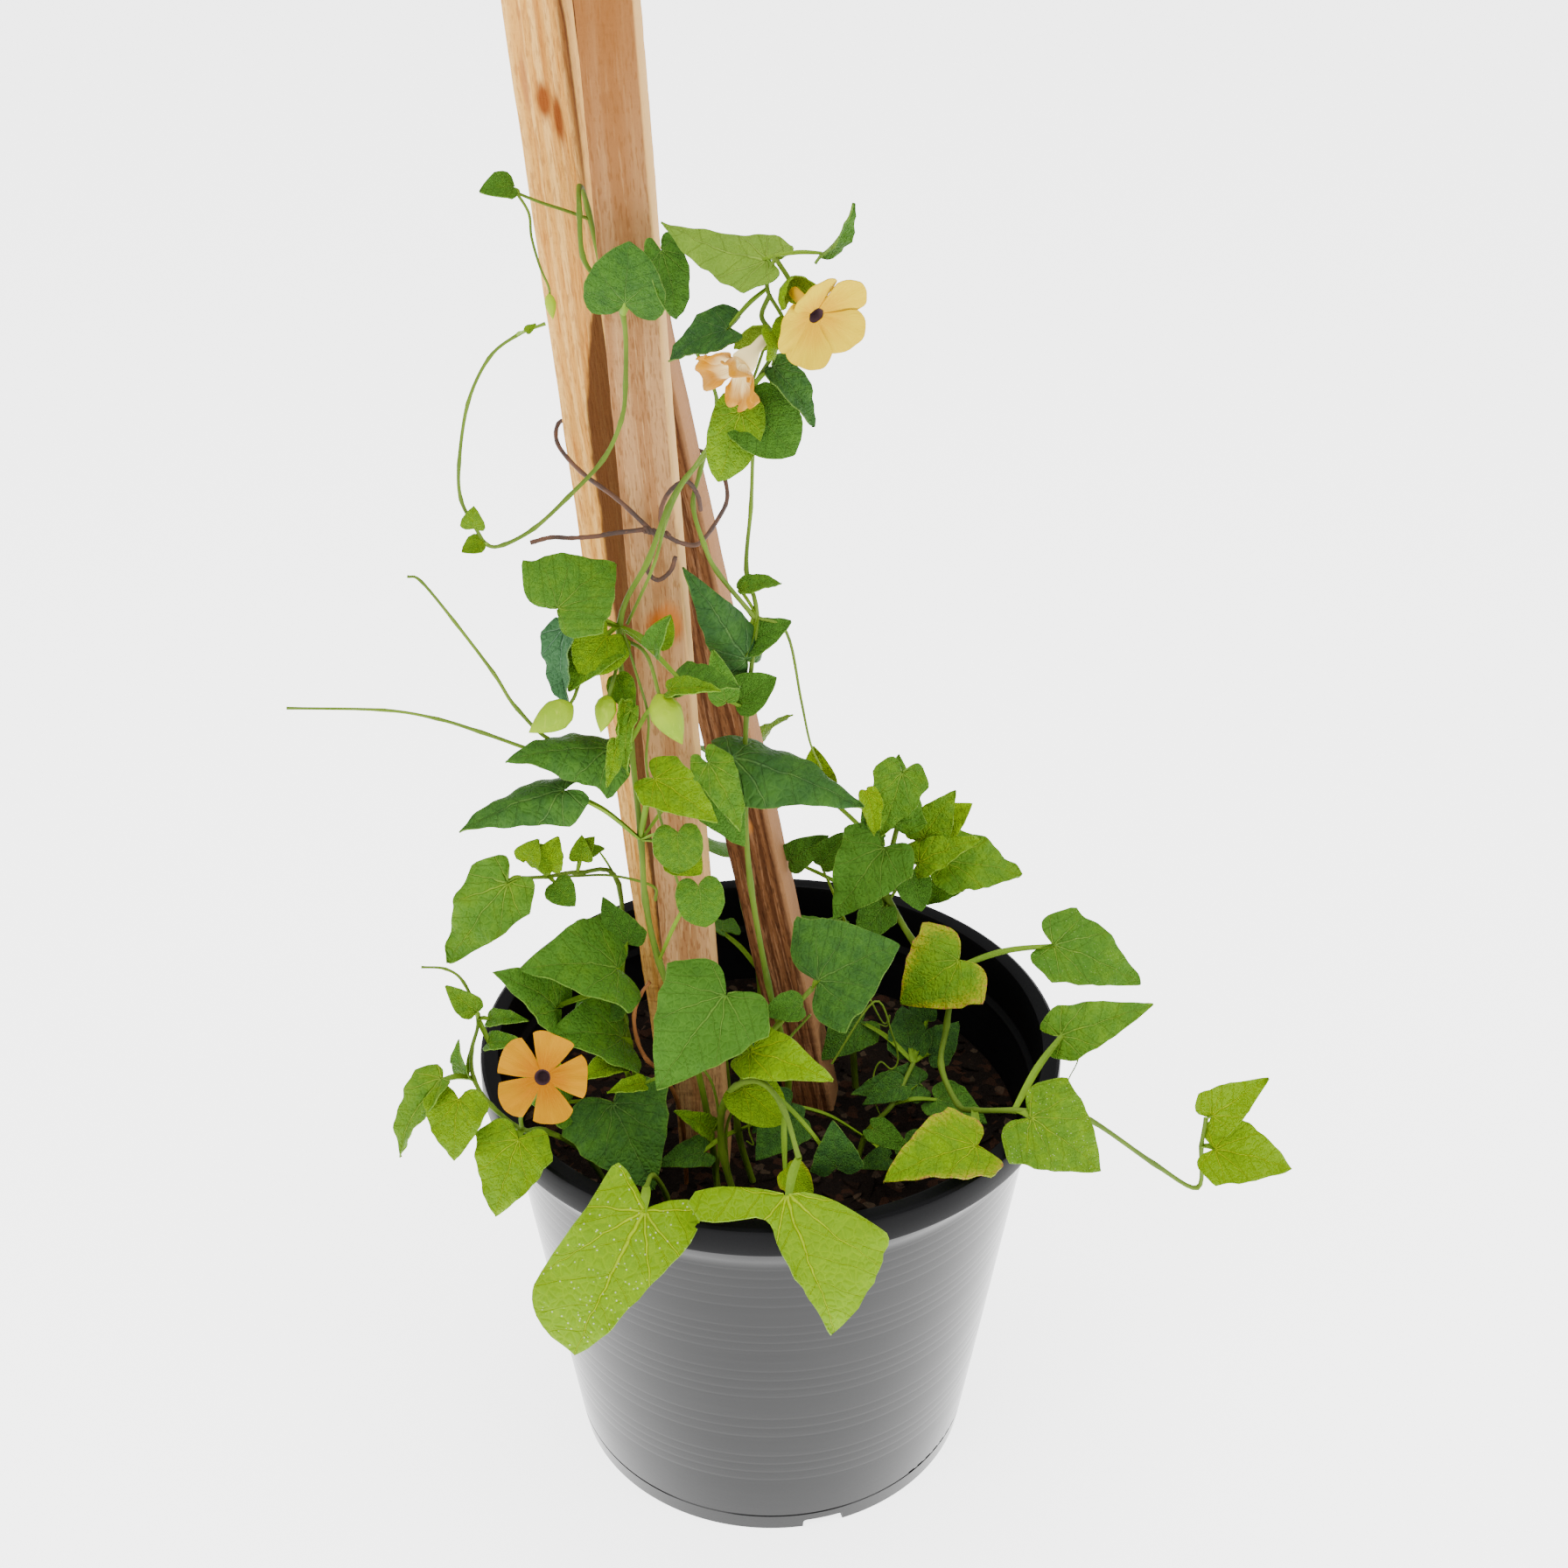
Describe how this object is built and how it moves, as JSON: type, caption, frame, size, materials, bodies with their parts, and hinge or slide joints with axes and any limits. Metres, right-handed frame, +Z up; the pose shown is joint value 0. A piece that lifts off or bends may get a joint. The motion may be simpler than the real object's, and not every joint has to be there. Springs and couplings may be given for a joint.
{
  "type": "potted climbing vine",
  "caption": "Black-eyed Susan vine in a round nursery pot, twining up three leaning square wooden stakes tied with wire, with arrow-shaped leaves and five-lobed flowers.",
  "frame": {"origin": "centre of the flat underside of the pot", "axes": "+Z up along the pot's axis, -Y towards the front of the pot, where the large front leaves hang, +X to the right seen from the front"},
  "size_m": [0.413, 0.284, 0.7151],
  "materials": {
    "pot": "satin black blow-moulded plastic",
    "soil": "damp bark and peat potting mix",
    "stake_pale": "rough sawn softwood",
    "stake_dark": "weathered rough sawn softwood",
    "wire": "rusted steel wire",
    "leaf": "softly hairy green leaf",
    "dead_stem": "dry brown stem",
    "petal_yellow": "matte petal",
    "petal_wilted": "wilted matte petal",
    "petal_orange": "matte petal",
    "eye": "dark throat of the flower"
  },
  "bodies": {
    "root": {"pot": "pot", "soil": "soil", "stake_left": "stake_pale", "stake_front": "stake_pale", "stake_right": "stake_dark", "tie_wire": "wire", "climber_front": "leaf", "climber_right": "leaf", "shoot_arching": "leaf", "spray_left": "leaf", "stem_left": "leaf", "stem_left_outer": "leaf", "stem_front_left": "leaf", "stem_front": "leaf", "stem_centre": "leaf", "leaves_inside": "leaf", "stem_right": "leaf", "sprig_back": "leaf", "dead_stem": "dead_stem", "bloom_yellow": "petal_yellow", "bloom_yellow_eye": "eye", "bloom_wilted": "petal_wilted", "bloom_orange": "petal_orange", "bloom_orange_eye": "eye"}
  },
  "joints": []
}
